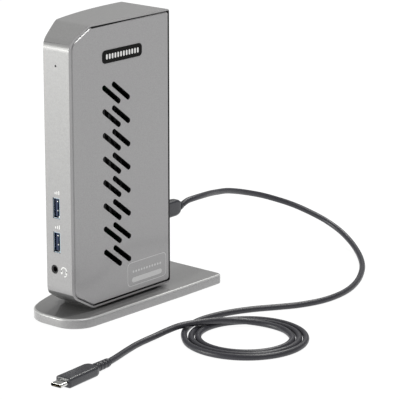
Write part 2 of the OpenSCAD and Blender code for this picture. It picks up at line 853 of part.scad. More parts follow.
at_host_plug() translate([0, -2.2, 0]) stadium_rod(shell_w - 0.7, shell_h - 0.7, 1.2);  // host_plug_core
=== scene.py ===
"""Looks of a laptop docking station on its stand, with its USB-C host cable."""

import math

import bmesh
import bpy
from mathutils import Matrix, Vector


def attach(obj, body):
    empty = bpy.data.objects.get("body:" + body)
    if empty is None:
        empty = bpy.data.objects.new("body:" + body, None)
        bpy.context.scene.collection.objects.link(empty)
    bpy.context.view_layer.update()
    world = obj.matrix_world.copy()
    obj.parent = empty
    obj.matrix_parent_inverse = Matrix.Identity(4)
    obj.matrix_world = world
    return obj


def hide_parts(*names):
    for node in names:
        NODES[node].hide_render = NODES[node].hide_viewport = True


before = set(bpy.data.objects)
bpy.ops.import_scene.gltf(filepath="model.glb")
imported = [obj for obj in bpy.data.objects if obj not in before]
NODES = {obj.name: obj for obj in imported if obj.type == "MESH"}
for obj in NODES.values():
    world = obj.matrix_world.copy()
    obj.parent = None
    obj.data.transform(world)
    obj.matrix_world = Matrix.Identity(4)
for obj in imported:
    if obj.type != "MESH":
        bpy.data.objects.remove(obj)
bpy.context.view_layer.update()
MM = 0.001

# ------------------------------------------------------------------ camera

camera = bpy.data.objects.new("camera", bpy.data.cameras.new("camera"))
bpy.context.scene.collection.objects.link(camera)
camera.location = (0.96285, -1.04248, 0.45536)
camera.rotation_euler = (math.radians(90 - 15.326), 0, math.radians(40.523))
camera.data.sensor_width = 36
camera.data.lens = 204.34
camera.data.clip_start = 0.05
camera.data.clip_end = 50
bpy.context.scene.camera = camera

# ------------------------------------------------------------------ materials


class Shader:
    """A material's node tree with short calls for the nodes used here."""

    def __init__(self, name):
        self.material = bpy.data.materials.new(name)
        self.material.use_nodes = True
        self.tree = self.material.node_tree
        self.bsdf = self.tree.nodes["Principled BSDF"]
        self.coords = self.node("ShaderNodeTexCoord").outputs["Object"]

    def node(self, kind, **values):
        made = self.tree.nodes.new(kind)
        for key, value in values.items():
            if key in made.inputs:
                made.inputs[key].default_value = value
            else:
                setattr(made, key, value)
        return made

    def link(self, source, target):
        self.tree.links.new(source, target)

    def noise(self, scale, detail=2.0, rough=0.5, stretch=None):
        source = self.coords
        if stretch:
            mapping = self.node("ShaderNodeMapping")
            mapping.inputs["Scale"].default_value = stretch
            self.link(source, mapping.inputs["Vector"])
            source = mapping.outputs["Vector"]
        made = self.node("ShaderNodeTexNoise", Scale=scale, Detail=detail, Roughness=rough)
        self.link(source, made.inputs["Vector"])
        return made.outputs["Fac"]

    def spread(self, source, low, high, lo_in=0.3, hi_in=0.7):
        made = self.node("ShaderNodeMapRange")
        made.inputs["From Min"].default_value = lo_in
        made.inputs["From Max"].default_value = hi_in
        made.inputs["To Min"].default_value = low
        made.inputs["To Max"].default_value = high
        self.link(source, made.inputs["Value"])
        return made.outputs["Result"]

    def blend_colours(self, fac, a, b):
        made = self.node("ShaderNodeMix", data_type="RGBA")
        made.inputs[6].default_value = (*a, 1)
        made.inputs[7].default_value = (*b, 1)
        self.link(fac, made.inputs[0])
        return made.outputs[2]

    def tint(self, fac, colour, other):
        made = self.node("ShaderNodeMix", data_type="RGBA")
        self.link(fac, made.inputs[0])
        self.link(colour, made.inputs[6])
        made.inputs[7].default_value = (*other, 1)
        return made.outputs[2]

    def bump(self, height, strength, distance):
        made = self.node("ShaderNodeBump")
        made.inputs["Strength"].default_value = strength
        made.inputs["Distance"].default_value = distance
        self.link(height, made.inputs["Height"])
        self.link(made.outputs["Normal"], self.bsdf.inputs["Normal"])


def surface(name, dark, light, grain, rough=(0.4, 0.5), metallic=0.0, bump=0.15, depth=0.00004,
            coarse=30.0, coarse_tint=None, specular=0.5, coat=0.0, coat_rough=0.1, stretch=None):
    """Fine two-tone grain with a slow, faint colour drift, varied roughness and grain bump."""
    s = Shader(name)
    fine = s.noise(grain, 3.0, 0.6, stretch)
    slow = s.noise(coarse, 2.0)
    colour = s.blend_colours(s.spread(fine, 0, 1), dark, light)
    if coarse_tint:
        colour = s.tint(s.spread(slow, 0.0, 0.35), colour, coarse_tint)
    s.link(colour, s.bsdf.inputs["Base Color"])
    s.link(s.spread(fine, rough[0], rough[1], 0.2, 0.8), s.bsdf.inputs["Roughness"])
    s.bump(fine, bump, depth)
    s.bsdf.inputs["Metallic"].default_value = metallic
    s.bsdf.inputs["Specular IOR Level"].default_value = specular
    s.bsdf.inputs["Coat Weight"].default_value = coat
    s.bsdf.inputs["Coat Roughness"].default_value = coat_rough
    return s.material


PAINT = surface("housing_paint", (0.30, 0.298, 0.300), (0.38, 0.377, 0.379), 1500, (0.34, 0.46),
                metallic=0.35, bump=0.12, depth=0.00003, coarse=14,
                coarse_tint=(0.335, 0.325, 0.338), coat=0.6, coat_rough=0.12)
# Painted shade: darker copies of the housing paint for the lower chamfer and the underside, where
# little light reaches
LOWER_PAINTED_SHADE = surface("housing_painted_shade_lower", (0.12, 0.12, 0.121), (0.16, 0.16, 0.161), 1500,
                       (0.36, 0.48), metallic=0.3, bump=0.12, depth=0.00003, coarse=14,
                       coarse_tint=(0.14, 0.138, 0.142), coat=0.4, coat_rough=0.16)
UNDERSIDE_PAINTED_SHADE = surface("housing_painted_shade_underside", (0.02, 0.02, 0.021), (0.034, 0.034, 0.035), 1500,
                      (0.45, 0.6), metallic=0.2, bump=0.12, depth=0.00003)
STAND_PAINT = surface("stand_paint", (0.27, 0.268, 0.270), (0.35, 0.347, 0.349), 1300, (0.34, 0.46),
                      metallic=0.35, bump=0.14, depth=0.00003, coarse=18,
                      coarse_tint=(0.30, 0.295, 0.30), coat=1.0, coat_rough=0.1)
# Painted highlight: a lighter grey for rounded rims and bevels, in place of the light they catch
EDGE_HIGHLIGHT = surface("edge_painted_highlight", (0.5, 0.5, 0.5), (0.6, 0.6, 0.6), 1500, (0.42, 0.52),
               metallic=0.3, bump=0.05, depth=0.00001, coat=0.3, coat_rough=0.3)
BLACK = surface("black_moulding", (0.006, 0.006, 0.007), (0.014, 0.014, 0.016), 2200, (0.45, 0.65),
                bump=0.2, depth=0.00004)
# Black for the unpainted insides, and also used as painted shade on the cover's seam edges and slot
# walls
INSIDE_AND_SHADE = surface("black_inside_and_painted_shade", (0.004, 0.004, 0.004), (0.008, 0.008, 0.009), 1200, (0.6, 0.8),
                 bump=0.1)
RUBBER = surface("rubber", (0.012, 0.012, 0.013), (0.022, 0.022, 0.023), 1400, (0.65, 0.85),
                 bump=0.25)
JACKET = surface("cable_jacket", (0.025, 0.025, 0.031), (0.039, 0.039, 0.048), 1700, (0.34, 0.48),
                 bump=0.12, depth=0.00003, coarse=60, coarse_tint=(0.043, 0.041, 0.052))
MOULDING = surface("plug_moulding", (0.022, 0.023, 0.028), (0.04, 0.041, 0.049), 2400, (0.3, 0.44),
                   bump=0.22, depth=0.00005, coarse=90, coarse_tint=(0.04, 0.042, 0.052),
                   coat=0.25, coat_rough=0.18)
STEEL = surface("plug_steel", (0.62, 0.62, 0.6), (0.78, 0.78, 0.76), 900, (0.16, 0.28),
                metallic=1.0, bump=0.05, depth=0.00001, stretch=(1, 0.1, 1))
SCREW = surface("screw_steel", (0.45, 0.45, 0.46), (0.6, 0.6, 0.61), 1100, (0.25, 0.4),
                metallic=1.0, bump=0.1, depth=0.00002)
BLUE = surface("blue_moulding", (0.002, 0.012, 0.048), (0.004, 0.024, 0.085), 1500, (0.25, 0.4),
               bump=0.06, depth=0.00002)
BLUISH_STEEL = surface("port_steel", (0.5, 0.62, 0.72), (0.62, 0.74, 0.84), 900, (0.2, 0.32),
                       metallic=1.0, bump=0.05, depth=0.00001)
GOLD = surface("gold_contact", (0.75, 0.55, 0.24), (0.9, 0.7, 0.36), 1500, (0.15, 0.3),
               metallic=1.0, bump=0.04, depth=0.00001)
CONTACT = surface("bright_contact", (0.82, 0.82, 0.8), (0.92, 0.92, 0.9), 1500, (0.12, 0.25),
                  metallic=1.0, bump=0.04, depth=0.00001)
BADGE = surface("badge_black", (0.002, 0.002, 0.002), (0.004, 0.004, 0.004), 1200, (0.5, 0.6),
                bump=0.03, depth=0.00001, specular=0.12)
WHITE_INK = surface("white_print", (0.78, 0.78, 0.77), (0.9, 0.9, 0.89), 3000, (0.5, 0.7),
                    bump=0.1, depth=0.00001)
GREY_INK = surface("grey_print", (0.6, 0.6, 0.6), (0.7, 0.7, 0.7), 3000, (0.5, 0.7),
                   bump=0.1, depth=0.00001)
BOARD = surface("board_mask", (0.004, 0.03, 0.014), (0.008, 0.05, 0.024), 400, (0.3, 0.45),
                bump=0.12, depth=0.00003, coarse=120, coarse_tint=(0.01, 0.07, 0.03))
CHIP = surface("chip_package", (0.01, 0.01, 0.01), (0.02, 0.02, 0.021), 2600, (0.5, 0.7), bump=0.2)
ANODISED = surface("heat_sink_anodised", (0.03, 0.03, 0.031), (0.05, 0.05, 0.052), 1600,
                   (0.4, 0.55), metallic=0.3, bump=0.1)
PAD = surface("thermal_pad", (0.2, 0.25, 0.36), (0.28, 0.33, 0.45), 900, (0.7, 0.85), bump=0.2)
CAN = surface("capacitor_can", (0.5, 0.5, 0.52), (0.65, 0.65, 0.67), 900, (0.25, 0.4),
              metallic=1.0, bump=0.05)
CLEAR = surface("clear_moulding", (0.55, 0.57, 0.6), (0.7, 0.72, 0.75), 1200, (0.1, 0.2),
                bump=0.05, depth=0.00001)
# Painted reflection: pale blue for the strip along each front USB port's side
LIP_PAINTED_REFLECTION = surface("port_lip_painted_reflection", (0.42, 0.62, 0.74), (0.52, 0.72, 0.82), 1500, (0.3, 0.4),
                   bump=0.05, depth=0.00001)
LIGHT_OFF = surface("status_window", (0.008, 0.009, 0.012), (0.016, 0.018, 0.024), 1200, (0.1, 0.2),
                    bump=0.05, depth=0.00001)
GREEN = surface("lens_green", (0.1, 0.5, 0.12), (0.16, 0.62, 0.18), 900, (0.15, 0.3), bump=0.05)

# ------------------------------------------------------------------ helpers


def add_piece(name, verts, faces, material, body, smooth=True):
    mesh = bpy.data.meshes.new(name)
    mesh.from_pydata([tuple(v) for v in verts], [], faces)
    made = bmesh.new()
    made.from_mesh(mesh)
    bmesh.ops.recalc_face_normals(made, faces=made.faces)
    made.to_mesh(mesh)
    made.free()
    mesh.polygons.foreach_set("use_smooth", [smooth] * len(mesh.polygons))
    obj = bpy.data.objects.new(name, mesh)
    mesh.materials.append(material)
    bpy.context.scene.collection.objects.link(obj)
    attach(obj, body)
    return obj


def add_bevel(obj, width, segments=2, angle=30):
    bevel = obj.modifiers.new("bevel", "BEVEL")
    bevel.width = width
    bevel.segments = segments
    bevel.limit_method = "ANGLE"
    bevel.angle_limit = math.radians(angle)
    bevel.harden_normals = True
    bevel.miter_outer = "MITER_ARC"


def dress(node, material, bevel=0.0, segments=2, angle=30, inside=None, inner=None):
    """Gives a CAD node its material, smooth shading and softened edges."""
    obj = NODES[node]
    mesh = obj.data
    mesh.materials.clear()
    mesh.materials.append(material)
    mesh.polygons.foreach_set("use_smooth", [True] * len(mesh.polygons))
    if inside:
        mesh.materials.append(inner)
        for face in mesh.polygons:
            if inside(face.center / MM):
                face.material_index = 1
    flat = obj.modifiers.new("merge_flat", "DECIMATE")
    flat.decimate_type = "DISSOLVE"
    flat.angle_limit = math.radians(0.4)
    flat.delimit = {"MATERIAL"}
    if bevel:
        add_bevel(obj, bevel, segments, angle)
    else:
        split = obj.modifiers.new("split", "EDGE_SPLIT")
        split.split_angle = math.radians(30)
    return obj


def rounded_ring(w, t, r, steps=6):
    """Corner-rounded rectangle, w wide and t thick, as (x, z) points."""
    r = min(r, w / 2 - 1e-6, t / 2 - 1e-6)
    points = []
    for cx, cz, start in ((1, 1, 0), (-1, 1, 90), (-1, -1, 180), (1, -1, 270)):
        for i in range(steps + 1):
            a = math.radians(start + 90 * i / steps)
            points.append((cx * (w / 2 - r) + r * math.cos(a), cz * (t / 2 - r) + r * math.sin(a)))
    return points


def loft(name, rings, material, body, matrix=None):
    """Skin through rings of equal size, each a list of (x, y, z) in mm, capped at both ends."""
    n = len(rings[0])
    verts = [Vector(p) for ring in rings for p in ring]
    if matrix:
        verts = [matrix @ v for v in verts]
    faces = []
    for i in range(len(rings) - 1):
        for k in range(n):
            a, b = i * n + k, i * n + (k + 1) % n
            faces.append((a, b, b + n, a + n))
    faces.append(tuple(range(n)))
    faces.append(tuple(range((len(rings) - 1) * n, len(rings) * n)))
    return add_piece(name, [v * MM for v in verts], faces, material, body)


def sharpen(obj, angle=35):
    """Hard edges stay hard under smooth shading."""
    split = obj.modifiers.new("split", "EDGE_SPLIT")
    split.split_angle = math.radians(angle)
    return obj


def boxes(name, cells, material, body, bevel=0.0):
    """Several (low, high) blocks in mm as one piece, with softened edges."""
    made = bmesh.new()
    for low, high in cells:
        geometry = bmesh.ops.create_cube(made, size=1.0)["verts"]
        for v in geometry:
            v.co = Vector((low[i] + (v.co[i] + 0.5) * (high[i] - low[i]) for i in range(3))) * MM
    mesh = bpy.data.meshes.new(name)
    made.to_mesh(mesh)
    made.free()
    mesh.materials.append(material)
    obj = bpy.data.objects.new(name, mesh)
    bpy.context.scene.collection.objects.link(obj)
    mesh.polygons.foreach_set("use_smooth", [True] * len(mesh.polygons))
    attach(obj, body)
    if bevel:
        add_bevel(obj, bevel * MM, 2)
    else:
        sharpen(obj)
    return obj


# ------------------------------------------------------------------ cable

CABLE_D = 4.0
LEAD = [
    (3.2, 61.3, 51.1), (3.2, 67.5, 52.9), (2.9, 76, 53.1), (1, 86, 52.3), (-3, 98, 50.5),
    (-7.5, 111, 48),
    (-11, 125, 45.4), (-13, 139, 41.8), (-13.2, 152, 38), (-11.4, 165, 33.8), (-7, 176, 29.4),
    (0, 185.5, 24.8), (10, 192.5, 19.6), (22, 196, 14.6), (35, 195, 10), (47, 190.5, 6.2),
    (59, 182.5, 3.6), (71, 171.5, 2.3), (83, 157.5, 2), (93, 142.5, 2), (101.5, 126.5, 2),
    (107.5, 110, 2), (110, 94, 2), (109, 78, 2), (103.5, 62, 2), (95.5, 49, 2),
    (87, 36.5, 2), (80.5, 23.5, 2), (76.4, 10, 2), (75, -3, 2), (76.8, -15, 2),
    (81.6, -26, 2), (89.1, -35.3, 2),
]
TAIL = [
    (129.9, 14.8, 2), (120, 16.9, 2.1), (110, 15.4, 2.5), (101.2, 10.2, 3.4), (95, 2.6, 4.6),
    (90.8, -6, 5.8), (87.3, -14.6, 6.4), (83.9, -22.8, 6.5), (80.5, -30.6, 6), (77.6, -38.6, 4.4),
    (75.8, -47, 2.8), (75.4, -56, 2.1), (76.4, -65, 2), (78.4, -74, 2), (81.2, -83.5, 2.2),
    (84.4, -92.6, 2.7), (87.352, -102.564, 3.1),
]
COIL_AT = (118.8, -10.4)
COIL_START, COIL_END, COIL_STEP = 220, 1140, 20
COIL_OUTER, COIL_PITCH = 38.8, 4.3

coil = []
angle = COIL_START + COIL_STEP
while angle < COIL_END:
    radius = COIL_OUTER - COIL_PITCH * (angle - COIL_START) / 360
    coil.append((COIL_AT[0] + radius * math.cos(math.radians(angle)),
                 COIL_AT[1] + radius * math.sin(math.radians(angle)), 2))
    angle += COIL_STEP


def smooth_route(points, steps):
    """Catmull-Rom curve through the points, with mirrored ends."""
    p = [Vector(q) for q in points]
    p = [2 * p[0] - p[1]] + p + [2 * p[-1] - p[-2]]
    out = []
    for i in range(1, len(p) - 2):
        a, b, c, d = p[i - 1:i + 3]
        for s in range(steps):
            f = s / steps
            out.append(0.5 * (2 * b + (c - a) * f + (2 * a - 5 * b + 4 * c - d) * f * f
                              + (3 * b - 3 * c + d - a) * f ** 3))
    return out + [p[-2]]


route = smooth_route(LEAD + coil + TAIL, 6)

curve = bpy.data.curves.new("host_cable", "CURVE")
curve.dimensions = "3D"
curve.bevel_depth = CABLE_D / 2 * MM
curve.bevel_resolution = 6
curve.use_fill_caps = True
spline = curve.splines.new("POLY")
spline.points.add(len(route) - 1)
for point, at in zip(spline.points, route):
    point.co = (*(at * MM), 1)
spline.use_smooth = True
curve.materials.append(JACKET)
cable = bpy.data.objects.new("host_cable", curve)
bpy.context.scene.collection.objects.link(cable)
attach(cable, "cable")
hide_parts("cable_lead", "cable_coil", "cable_tail")

# ------------------------------------------------------------------ plugs

PLUG_W, PLUG_T, PLUG_L = 11.2, 6.2, 29.0
NOSE_W, NOSE_T, NOSE_L = 8.25, 2.4, 6.6
DOCK_PLUG = Matrix.Translation((3.2, 28.8, 51.1)) @ Matrix.Rotation(math.radians(90), 4, "Y")
HOST_PLUG = Matrix.Translation((91.1, -145.4, 3.1)) @ Matrix.Rotation(math.radians(5), 4, "Z")
BEHIND = Matrix.Translation((0, PLUG_L, 0))


def overmould(name, matrix, shoulder, node):
    """Plug body: small front fillet, straight flanks, big rounded shoulders into the neck."""
    rings = []
    for i in range(5):
        a = math.radians(90 * i / 4)
        cut = 0.9 * (1 - math.sin(a))
        rings.append((0.9 * (1 - math.cos(a)), PLUG_W - 2 * cut, PLUG_T - 2 * cut, 1.5))
    rings.append((PLUG_L * 0.4, PLUG_W, PLUG_T, 1.7))
    for i in range(9):
        a = math.radians(90 * i / 8)
        rings.append((PLUG_L - shoulder + shoulder * math.sin(a),
                      PLUG_W - 4.2 * (1 - math.cos(a)), PLUG_T - 0.9 * (1 - math.cos(a)),
                      1.7 + 0.7 * (1 - math.cos(a))))
    rings.append((PLUG_L, 5.6, 4.4, 2.0))
    body = loft(name, [[(x, y, z) for x, z in rounded_ring(w, t, r)] for y, w, t, r in rings],
                MOULDING, "cable", matrix)
    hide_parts(node)
    return body


def relief(name, matrix, length, root, tip, ribs, node):
    """Turned strain relief: rounded ribs with grooves cut between them."""
    profile = [(0.0, root * 0.9)]
    steps = 10
    for rib in range(ribs):
        for i in range(steps + 1):
            f = (rib + i / steps) / ribs
            outer = root + (tip - root) * f
            t = i / steps
            groove = 0.0 if 0.14 < t < 0.86 else 0.62
            if t in (0.1, 0.9):
                groove = 0.5
            profile.append((0.25 + f * (length - 0.5), outer - groove))
    profile.append((length, tip * 0.92))
    around = 32
    rings = [[(r * math.cos(2 * math.pi * k / around), y, r * math.sin(2 * math.pi * k / around))
              for k in range(around)] for y, r in profile]
    piece = loft(name, rings, MOULDING, "cable", matrix)
    add_bevel(piece, 0.12 * MM, 2, 28)
    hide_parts(node)
    return piece


def nose(name, matrix, node):
    """Drawn metal shell of a USB-C plug: rolled lip, hollow mouth."""
    lip = 0.14
    outer = [(0.4, NOSE_W, NOSE_T), (-NOSE_L + lip, NOSE_W, NOSE_T),
             (-NOSE_L + 0.04, NOSE_W - 0.08, NOSE_T - 0.08),
             (-NOSE_L, NOSE_W - 2 * lip, NOSE_T - 2 * lip)]
    inner = [(-NOSE_L, NOSE_W - 0.5, NOSE_T - 0.5), (-NOSE_L + 0.1, NOSE_W - 0.6, NOSE_T - 0.6),
             (-0.6, NOSE_W - 0.6, NOSE_T - 0.6)]
    rings = [[(x, y, z) for x, z in rounded_ring(w, t, t / 2, 8)] for y, w, t in outer + inner]
    piece = loft(name, rings, STEEL, "cable", matrix)
    sharpen(piece, 50)
    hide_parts(node)
    return piece


def contact_row(name, matrix):
    """Two rows of contact springs inside the mouth of a USB-C plug."""
    cells = []
    for side in (-1, 1):
        for i in range(12):
            x = -2.75 + i * 0.5
            cells.append(((x - 0.12, -NOSE_L + 0.9, side * 0.62 - 0.1),
                          (x + 0.12, -1.4, side * 0.62 + 0.1)))
    piece = boxes(name, cells, GOLD, "cable")
    piece.data.transform(Matrix.Scale(1 / MM, 4))
    piece.data.transform(matrix)
    piece.data.transform(Matrix.Scale(MM, 4))
    return piece


def liner(name, matrix):
    """Black lining of a USB-C plug's mouth."""
    rings = []
    sections = [(-NOSE_L + 0.55, 7.6, 1.75), (-NOSE_L + 0.6, 7.0, 1.25), (-1.3, 7.0, 1.25)]
    for y, w, t in [(-1.3, 7.6, 1.75)] + sections:
        rings.append([(x, y, z) for x, z in rounded_ring(w, t, t / 2, 8)])
    piece = loft(name, rings, BLACK, "cable", matrix)
    return sharpen(piece, 50)


on_cable = [
    overmould("dock_plug_overmould", DOCK_PLUG, 5.6, "dock_plug_body"),
    overmould("host_plug_overmould", HOST_PLUG, 4.4, "host_plug_body"),
    relief("dock_plug_strain_relief", DOCK_PLUG @ BEHIND, 3.5, 3.2, 2.6, 1, "dock_plug_relief"),
    relief("host_plug_strain_relief", HOST_PLUG @ BEHIND, 14, 3.0, 2.7, 4, "host_plug_relief"),
    nose("dock_plug_nose", DOCK_PLUG, "dock_plug_shell"),
    nose("host_plug_nose", HOST_PLUG, "host_plug_shell"),
    liner("host_plug_liner", HOST_PLUG),
    contact_row("host_plug_contacts", HOST_PLUG),
]
dress("host_plug_core", BLACK, 0.0)

# ------------------------------------------------------------------ stand

ARC_Y = 22.5
STAND_ARC = (232.1, 200.1)
DOCK_ARC = (219.404, 201.404)
X_RIGHT, Y_FRONT, Z_BOT, Z_TOP = 21.5, -64.3, 9.0, 191.0


def left_x(y, arc=DOCK_ARC):
    """X of the curved left wall at y, for an arc of (radius, centre x)."""
    return arc[1] - math.sqrt(arc[0] ** 2 - (y - ARC_Y) ** 2)


def fillet(points, steps=8):
    """Closed outline whose corners (x, y, r) are rounded by tangent arcs."""
    out = []
    n = len(points)
    for i in range(n):
        a, b, c = (Vector(points[j % n][:2]) for j in (i - 1, i, i + 1))
        r = points[i][2]
        if r <= 0:
            out.append(b)
            continue
        u, v = (a - b).normalized(), (c - b).normalized()
        half = math.acos(max(-1, min(1, u.dot(v)))) / 2
        centre = b + (u + v).normalized() * r / math.sin(half)
        p, q = b + u * r / math.tan(half) - centre, b + v * r / math.tan(half) - centre
        start = math.atan2(p.y, p.x)
        sweep = math.atan2(p.x * q.y - p.y * q.x, p.dot(q))
        for s in range(steps + 1):
            t = start + sweep * s / steps
            out.append(centre + r * Vector((math.cos(t), math.sin(t))))
    return out


def inset_outline(points, d):
    """Moves an outline inwards by d along its corner normals."""
    out = []
    n = len(points)
    area = sum(points[i - 1].x * points[i].y - points[i].x * points[i - 1].y for i in range(n))
    sign = 1 if area > 0 else -1
    for i in range(n):
        e1 = (points[i] - points[i - 1]).normalized()
        e2 = (points[(i + 1) % n] - points[i]).normalized()
        n1, n2 = Vector((-e1.y, e1.x)) * sign, Vector((-e2.y, e2.x)) * sign
        m = (n1 + n2).normalized()
        out.append(points[i] + m * d / max(0.3, m.dot(n1)))
    return out


arc_front = -53.0
arc_rear = ARC_Y - 4
stand_points = [(32, 70, 4), (-32, 70, 4)]
for i in range(25):
    y = arc_rear + (arc_front - arc_rear) * i / 24
    stand_points.append((left_x(y, STAND_ARC), y, 0))
stand_points += [(left_x(-70, STAND_ARC) + 1, -70, 20), (30, -70, 17), (32, 30, 60)]
stand_outline = fillet(stand_points)
stand_rings = []
for z, d in [(0.6, 0.4), (1.0, 0.0), (5.5, 0.0), (5.9, 0.06), (6.25, 0.2), (6.6, 0.45),
             (6.85, 0.8), (6.97, 1.15), (7.0, 1.6)]:
    stand_rings.append([(p.x, p.y, z) for p in inset_outline(stand_outline, d)])
stand = loft("stand_plate", stand_rings, STAND_PAINT, "stand")
# Painted highlight: the faces of the rounded upper rim take a lighter grey than the flat faces, in
# place of the light the rim catches
RIM_LOW, RIM_HIGH, NEARLY_LEVEL = 5.9, 6.95, 0.97
stand.data.materials.append(EDGE_HIGHLIGHT)
for face in stand.data.polygons:
    if RIM_LOW < face.center.z / MM < RIM_HIGH and abs(face.normal.z) < NEARLY_LEVEL:
        face.material_index = 1
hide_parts("base_plate")
sharpen(stand, 40)

dress("base_cradle", BLACK, 0.3 * MM)
dress("base_feet", RUBBER, 0.2 * MM)
dress("cradle_screws", SCREW, 0.1 * MM)

# ------------------------------------------------------------------ housing

WALL, FRONT_WALL = 1.2, 2.3
CHAMFER_D, CHAMFER_TOP, CHAMFER_BOT = 19.0, 9.7, 11.0
SKIN_DEPTH = 1.3 * WALL * 0.6


def housing_inner(c):
    """True where a face centre of the housing, in mm, lies inside its outer skin."""
    if c.x > X_RIGHT - WALL or c.x < left_x(c.y) + 0.9:
        return False
    ahead = c.y - Y_FRONT
    upper = (ahead * CHAMFER_TOP + (Z_TOP - CHAMFER_TOP - c.z) * CHAMFER_D) / math.hypot(
        CHAMFER_TOP, CHAMFER_D)
    lower = (ahead * CHAMFER_BOT + (c.z - Z_BOT - CHAMFER_BOT) * CHAMFER_D) / math.hypot(
        CHAMFER_BOT, CHAMFER_D)
    skin = min(c.z - Z_BOT, Z_TOP - c.z, upper, lower)
    return skin > SKIN_DEPTH and ahead > FRONT_WALL * 0.6


# Material places on the housing: 0 paint and 1 inside, from dress(), then these three: painted
# highlight on the bevels, painted shade on the lower slopes and painted shade on the underside
PAINTED, BEVEL_HIGHLIGHT, LOWER_SHADE, UNDERSIDE_SHADE = 0, 2, 3, 4
SLOPING_DOWN, FACING_DOWN = -0.4, -0.93
housing = dress("main_housing", PAINT, 0.45 * MM, 3, 35, inside=housing_inner, inner=INSIDE_AND_SHADE)
for extra in (EDGE_HIGHLIGHT, LOWER_PAINTED_SHADE, UNDERSIDE_PAINTED_SHADE):
    housing.data.materials.append(extra)
# Painted highlight: the housing's bevel faces take the lighter edge grey
housing.modifiers["bevel"].material = BEVEL_HIGHLIGHT
# Painted shade: faces sloping down take the darker paint, and faces turned down take the darkest
for face in housing.data.polygons:
    if face.material_index == PAINTED and face.normal.z < SLOPING_DOWN:
        face.material_index = UNDERSIDE_SHADE if face.normal.z < FACING_DOWN else LOWER_SHADE

# Painted shade: the cover's faces inside these x limits are blacked, which darkens its seam and its
# slots
SLOTS_Y = (-36.0, -6.0)
SLOT_SHADE_X, SEAM_SHADE_X = 21.4, 20.3


def cover_inside_and_shade(c):
    """True for the cover's hidden faces, for the walls of its slots and for its edge faces in the
    seam; the slot walls and seam edges are blacked as painted shade.
    """
    return c.x < (SLOT_SHADE_X if SLOTS_Y[0] < c.y < SLOTS_Y[1] else SEAM_SHADE_X)


dress("side_cover", PAINT, inside=cover_inside_and_shade, inner=INSIDE_AND_SHADE)
dress("rear_panel", BLACK, 0.06 * MM, 1)
dress("side_feet", RUBBER, 0.3 * MM)
dress("badge", BADGE, 0.15 * MM, 2)
dress("cover_screws", SCREW, 0.1 * MM)

# ------------------------------------------------------------------ electronics and sockets

dress("main_board", BOARD)
dress("board_screws", SCREW, 0.1 * MM)
dress("graphics_chip", CHIP, 0.1 * MM)
dress("support_chips", CHIP, 0.1 * MM)
dress("thermal_pad", PAD)
dress("heat_sink", ANODISED)
dress("heat_sink_screws", SCREW, 0.1 * MM)
dress("power_inductors", CHIP, 0.2 * MM)
dress("filter_capacitors", CAN, 0.2 * MM)
dress("status_led", CLEAR)
dress("light_pipe", LIGHT_OFF)
for port in ("upper", "lower"):
    dress(f"front_usb_shell_{port}", BLUISH_STEEL, 0.08 * MM)
    dress(f"front_usb_tongue_{port}", BLUE, 0.1 * MM)
    dress(f"hdmi_shell_{port}", STEEL, 0.08 * MM)
    dress(f"dp_shell_{port}", STEEL, 0.08 * MM)
    dress(f"hdmi_tongue_{port}", BLACK, 0.08 * MM)
    dress(f"dp_tongue_{port}", BLACK, 0.08 * MM)
dress("headset_jack", BLACK, 0.15 * MM)
dress("power_jack", BLACK, 0.15 * MM)
dress("power_jack_pin", STEEL, 0.2 * MM)
dress("host_port_shell", STEEL, 0.05 * MM)
dress("host_port_tongue", BLACK, 0.05 * MM)
dress("network_jack", STEEL, 0.15 * MM)
dress("network_contacts", GOLD)
dress("network_lights", GREEN, 0.1 * MM)
dress("rear_usb_shell", STEEL, 0.08 * MM)
dress("rear_usb_tongues", BLUE, 0.1 * MM)

# ------------------------------------------------------------------ prints and port details


def pill(u, v, w, h, turn=0.0, steps=6):
    """Outline of a round-ended bar centred at (u, v)."""
    r = min(w, h) / 2
    points = []
    for cu, cv, start in ((1, 1, 0), (-1, 1, 90), (-1, -1, 180), (1, -1, 270)):
        for i in range(steps + 1):
            a = math.radians(start + 90 * i / steps)
            points.append(Vector((cu * (w / 2 - r) + r * math.cos(a),
                                  cv * (h / 2 - r) + r * math.sin(a))))
    c, s = math.cos(math.radians(turn)), math.sin(math.radians(turn))
    return [(u + c * p.x - s * p.y, v + s * p.x + c * p.y) for p in points]


def line(points, width):
    """Outline of an open line of even width through the points."""
    p = [Vector(q) for q in points]
    left, right = [], []
    for i, q in enumerate(p):
        d = (p[min(i + 1, len(p) - 1)] - p[max(i - 1, 0)]).normalized()
        side = Vector((-d.y, d.x)) * width / 2
        left.append(q + side)
        right.append(q - side)
    return left + right[::-1]


def arc(u, v, r, start, stop, steps=14):
    """Points along an arc about (u, v), with its angles in degrees."""
    return [(u + r * math.cos(math.radians(start + (stop - start) * i / steps)),
             v + r * math.sin(math.radians(start + (stop - start) * i / steps)))
            for i in range(steps + 1)]


def on_side(x):
    """Places marks on a side face at x, raised by w."""
    return lambda u, v, w: (x + w, u, v)


def on_front(u, v, w):
    """Places marks on the front face, raised by w."""
    return (u, Y_FRONT - w, v)


def printed(name, outlines, place, material, thick=0.04):
    """Flat marks raised a hair above a face."""
    verts, faces = [], []
    for outline in outlines:
        n, base = len(outline), len(verts)
        for w in (-0.05, thick):
            verts += [Vector(place(p[0], p[1], w)) * MM for p in outline]
        faces.append(tuple(range(base, base + n)))
        faces.append(tuple(range(base + n, base + 2 * n)))
        for k in range(n):
            m = (k + 1) % n
            faces.append((base + k, base + m, base + n + m, base + n + k))
    return add_piece(name, verts, faces, material, "dock", smooth=False)


BADGE_Y, BADGE_Z, BADGE_FACE_X = -16.1, 168.9, 21.8
LABEL_Y, LABEL_Z, LABEL_R = (-12.6, 24.3), (14.8, 30.5), 3

